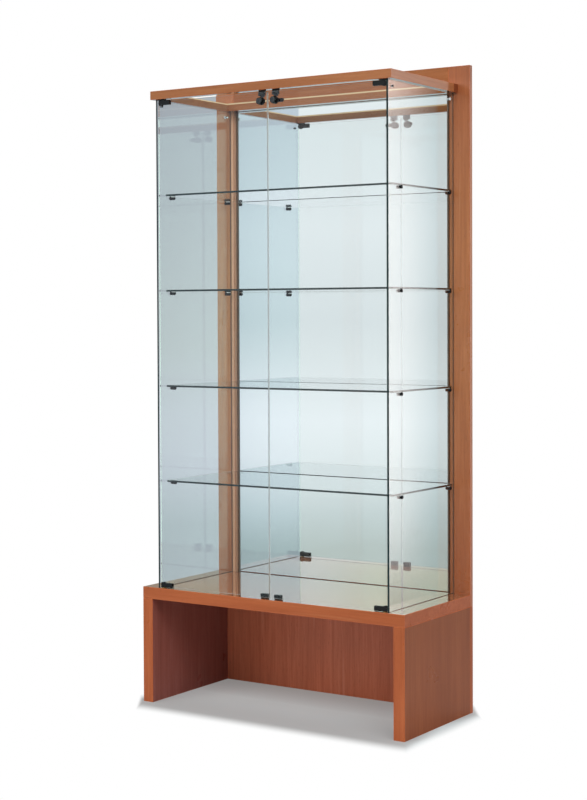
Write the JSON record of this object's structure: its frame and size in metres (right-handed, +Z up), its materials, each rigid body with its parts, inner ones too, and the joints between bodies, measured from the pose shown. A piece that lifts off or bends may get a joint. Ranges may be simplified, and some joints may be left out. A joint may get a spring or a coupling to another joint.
{
  "type": "display case",
  "caption": "Tall glass display case with mirrored back, glass shelves on through-glass pegs, a pair of pivot-hung glass doors with cam locks, wooden top frame and open wooden base.",
  "frame": {"origin": "middle of the footprint on the floor", "axes": "+X to the right seen from the front, +Y from the front to the back, +Z up"},
  "size_m": [1, 0.445, 2.082],
  "materials": {
    "laminate": "reddish fruitwood laminate, satin, glossy on the top of the base",
    "thin_board": "plain thin fibreboard",
    "dowel_wood": "bare wood",
    "clear_glass": "clear float glass with dark green edges",
    "mirror_glass": "silvered glass",
    "black_metal": "black semi-gloss coating",
    "black_plastic": "black moulded plastic",
    "steel": "plain steel",
    "brass": "turned brass",
    "white_cap": "white cap",
    "bright_tie": "bright plated"
  },
  "bodies": {
    "case": {"base_side_left": "laminate", "base_side_right": "laminate", "base_top": "laminate", "base_rear": "laminate", "base_dowels": "dowel_wood", "wood_screws": "steel", "back_stile_left": "laminate", "back_stile_right": "laminate", "back_top_rail": "laminate", "back_bottom_rail": "laminate", "back_panel": "thin_board", "panel_screws": "steel", "mirror_pane": "mirror_glass", "side_glass_left": "clear_glass", "side_glass_right": "clear_glass", "frame_front": "laminate", "frame_left": "laminate", "frame_right": "laminate", "frame_rear": "laminate", "shelf_1": "clear_glass", "shelf_2": "clear_glass", "shelf_3": "clear_glass", "shelf_4": "clear_glass", "shelf_pegs": "black_plastic", "shelf_caps": "black_plastic", "hinge_bracket_left": "black_metal", "hinge_bracket_right": "black_metal", "bracket_screws": "steel", "side_bolts": "black_metal", "pivot_bushes": "brass", "keepers": "black_plastic", "catches": "black_plastic", "catch_poles": "steel", "glass_ties": "bright_tie", "tie_caps": "white_cap"},
    "left_door": {"door_left": "clear_glass", "leaf_top_left": "black_metal", "leaf_bottom_left": "black_metal", "hinge_pins_left": "steel", "hinge_screws_left": "black_metal", "strike_left": "steel", "lock_body_left": "black_metal"},
    "right_door": {"door_right": "clear_glass", "leaf_top_right": "black_metal", "leaf_bottom_right": "black_metal", "hinge_pins_right": "steel", "hinge_screws_right": "black_metal", "strike_right": "steel", "lock_body_right": "black_metal"},
    "left_lock": {"lock_turn_left": "black_metal"},
    "right_lock": {"lock_turn_right": "black_metal"}
  },
  "joints": [
    {"name": "left_door_swing", "type": "hinge", "parent": "case", "child": "left_door", "pos_m": [-0.424, -0.2055, 1.19], "axis": [0, 0, -1], "range_deg": [0, 110]},
    {"name": "right_door_swing", "type": "hinge", "parent": "case", "child": "right_door", "pos_m": [0.424, -0.2055, 1.19], "axis": [0, 0, 1], "range_deg": [0, 110]},
    {"name": "left_lock_turn", "type": "hinge", "parent": "left_door", "child": "left_lock", "pos_m": [-0.026, -0.2125, 1.9625], "axis": [0, 1, 0], "range_deg": [0, 90]},
    {"name": "right_lock_turn", "type": "hinge", "parent": "right_door", "child": "right_lock", "pos_m": [0.026, -0.2125, 1.9625], "axis": [0, -1, 0], "range_deg": [0, 90]}
  ]
}
